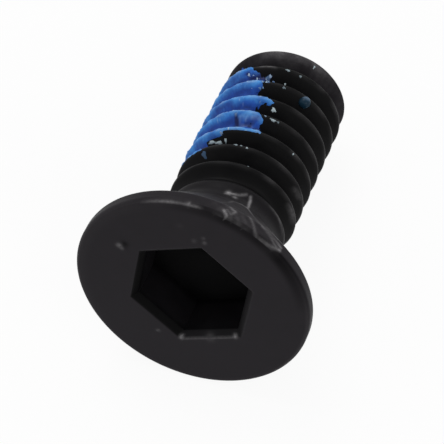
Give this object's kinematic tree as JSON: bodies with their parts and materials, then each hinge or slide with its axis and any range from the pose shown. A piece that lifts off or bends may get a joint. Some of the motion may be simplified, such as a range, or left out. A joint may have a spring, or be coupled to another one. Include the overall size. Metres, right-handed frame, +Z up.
{
  "type": "countersunk screw",
  "caption": "Short black flat countersunk screw with a hex socket, a coarse right-hand thread and a blue locking patch bonded to one side of the thread, lying on its side.",
  "frame": {"origin": "on the surface that the screw lies on, under the middle of its box", "axes": "+Z up; the screw's axis lies in the YZ plane, with the head's face towards -Y and the tip towards +Y, dipping to the tip because the head is wider than the thread"},
  "size_m": [0.0116, 0.017, 0.0114],
  "materials": {
    "black_steel": "matte black oxide on steel, with a few pale scuffs",
    "blue_coating": "rough sprayed plastic coating"
  },
  "bodies": {
    "root": {"screw": "black_steel", "locking_patch": "blue_coating"}
  },
  "joints": []
}
